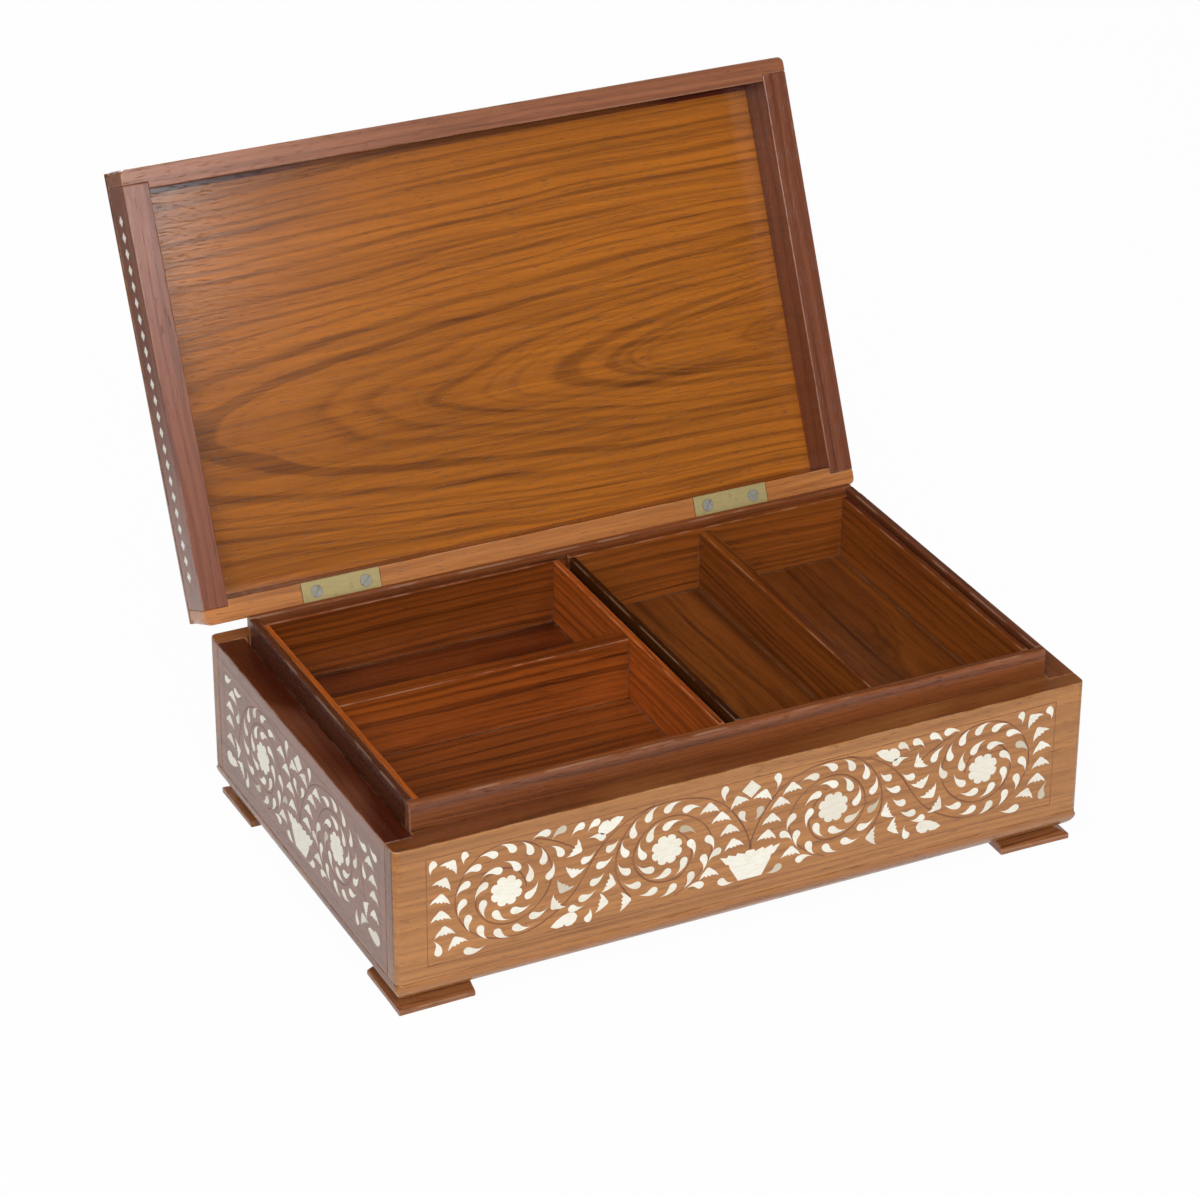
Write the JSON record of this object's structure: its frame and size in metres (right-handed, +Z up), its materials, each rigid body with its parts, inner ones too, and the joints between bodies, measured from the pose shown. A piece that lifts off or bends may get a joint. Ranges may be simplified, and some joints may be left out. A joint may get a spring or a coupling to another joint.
{
  "type": "bone inlay box",
  "caption": "Hinged hardwood keepsake box with bone scroll inlay, a raised liner, lift-out divided trays and bracket feet.",
  "frame": {"origin": "on the floor under the middle of the box as it stands with its lid open", "axes": "+X along the box to the right as seen from the front, +Y to the back, +Z up"},
  "size_m": [0.33, 0.3174, 0.2705],
  "materials": {
    "case_wood": "waxed hardwood, open grain, satin",
    "liner_wood": "dark waxed hardwood",
    "tray_wood": "thin waxed hardwood",
    "bone": "polished bone, flush",
    "brass": "aged brass",
    "steel": "plain steel"
  },
  "bodies": {
    "base": {"back_left_foot_back_moulding": "case_wood", "back_left_foot_left_moulding": "case_wood", "back_liner": "liner_wood", "back_right_foot_back_moulding": "case_wood", "back_right_foot_right_moulding": "case_wood", "back_tray_runner": "liner_wood", "back_wall": "case_wood", "base_hinge_screws": "steel", "bottom_board": "case_wood", "front_inlay": "bone", "front_left_foot_front_moulding": "case_wood", "front_left_foot_left_moulding": "case_wood", "front_liner": "liner_wood", "front_right_foot_front_moulding": "case_wood", "front_right_foot_right_moulding": "case_wood", "front_tray_runner": "liner_wood", "front_wall": "case_wood", "left_hinge_base_leaf": "brass", "left_hinge_pin": "brass", "left_inlay": "bone", "left_liner": "liner_wood", "left_wall": "case_wood", "right_hinge_base_leaf": "brass", "right_hinge_pin": "brass", "right_inlay": "bone", "right_liner": "liner_wood", "right_wall": "case_wood"},
    "lid": {"left_hinge_lid_leaf": "brass", "lid_back_rail": "case_wood", "lid_front_rail": "case_wood", "lid_hinge_screws": "steel", "lid_left_diamonds": "bone", "lid_left_rail": "case_wood", "lid_right_diamonds": "bone", "lid_right_rail": "case_wood", "lid_top_board": "case_wood", "right_hinge_lid_leaf": "brass"},
    "left_tray": {"left_tray_back_wall": "tray_wood", "left_tray_divider": "tray_wood", "left_tray_floor": "tray_wood", "left_tray_front_wall": "tray_wood", "left_tray_inner_wall": "tray_wood", "left_tray_outer_wall": "tray_wood"},
    "right_tray": {"right_tray_back_wall": "tray_wood", "right_tray_divider": "tray_wood", "right_tray_floor": "tray_wood", "right_tray_front_wall": "tray_wood", "right_tray_inner_wall": "tray_wood", "right_tray_outer_wall": "tray_wood"}
  },
  "joints": [
    {"name": "lid_hinge", "type": "hinge", "parent": "base", "child": "lid", "pos_m": [0, 0.04862, 0.08115], "axis": [1, 0, 0], "range_deg": [0, 114]},
    {"name": "left_tray_lift", "type": "slide", "parent": "base", "child": "left_tray", "axis": [0, 0, 1], "range_m": [0, 0.01]},
    {"name": "right_tray_lift", "type": "slide", "parent": "base", "child": "right_tray", "axis": [0, 0, 1], "range_m": [0, 0.01]}
  ]
}
